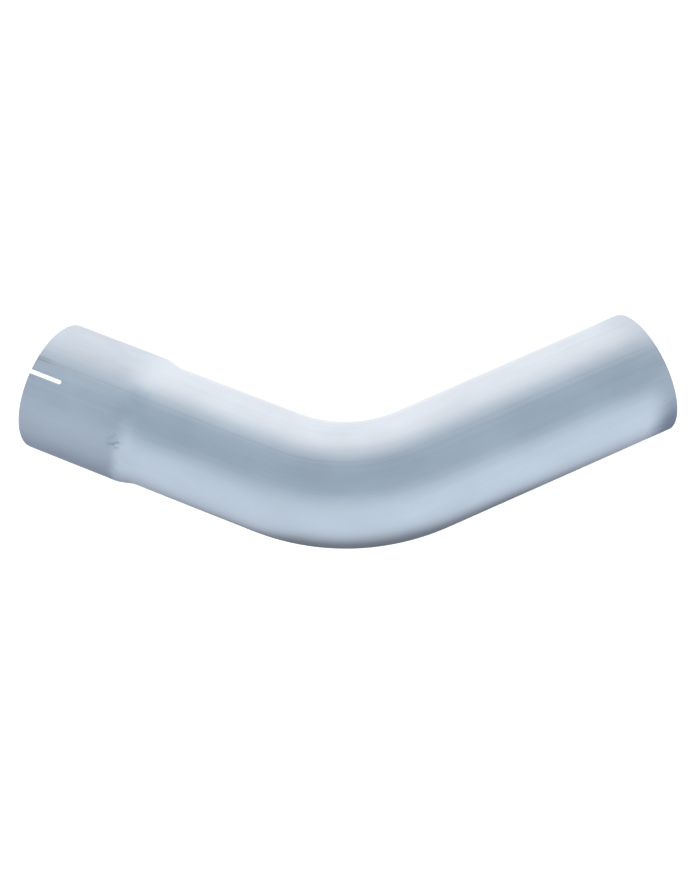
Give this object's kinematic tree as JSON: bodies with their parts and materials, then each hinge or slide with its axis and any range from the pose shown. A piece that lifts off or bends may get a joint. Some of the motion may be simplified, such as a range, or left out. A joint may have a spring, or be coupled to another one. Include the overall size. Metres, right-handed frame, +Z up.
{
  "type": "flue elbow",
  "caption": "Mandrel-bent 45 degree metal flue or exhaust pipe elbow with a plain spigot end and a slotted, expanded slip-over socket end.",
  "frame": {"origin": "centre of the footprint, on the surface that the elbow lies on; the bend's plane is level, 47 mm above it", "axes": "+X from the socket end towards the spigot end, along the elbow's greatest length; +Y towards the inside of the bend; +Z up, square to the bend's plane, the elbow's least extent"},
  "size_m": [0.4526, 0.1638, 0.094],
  "materials": {
    "aluminised_steel": "satin aluminised steel tube, fine lengthwise draw lines, duller and slightly mottled on the expanded socket"
  },
  "bodies": {
    "root": {"elbow_tube": "aluminised_steel"}
  },
  "joints": []
}
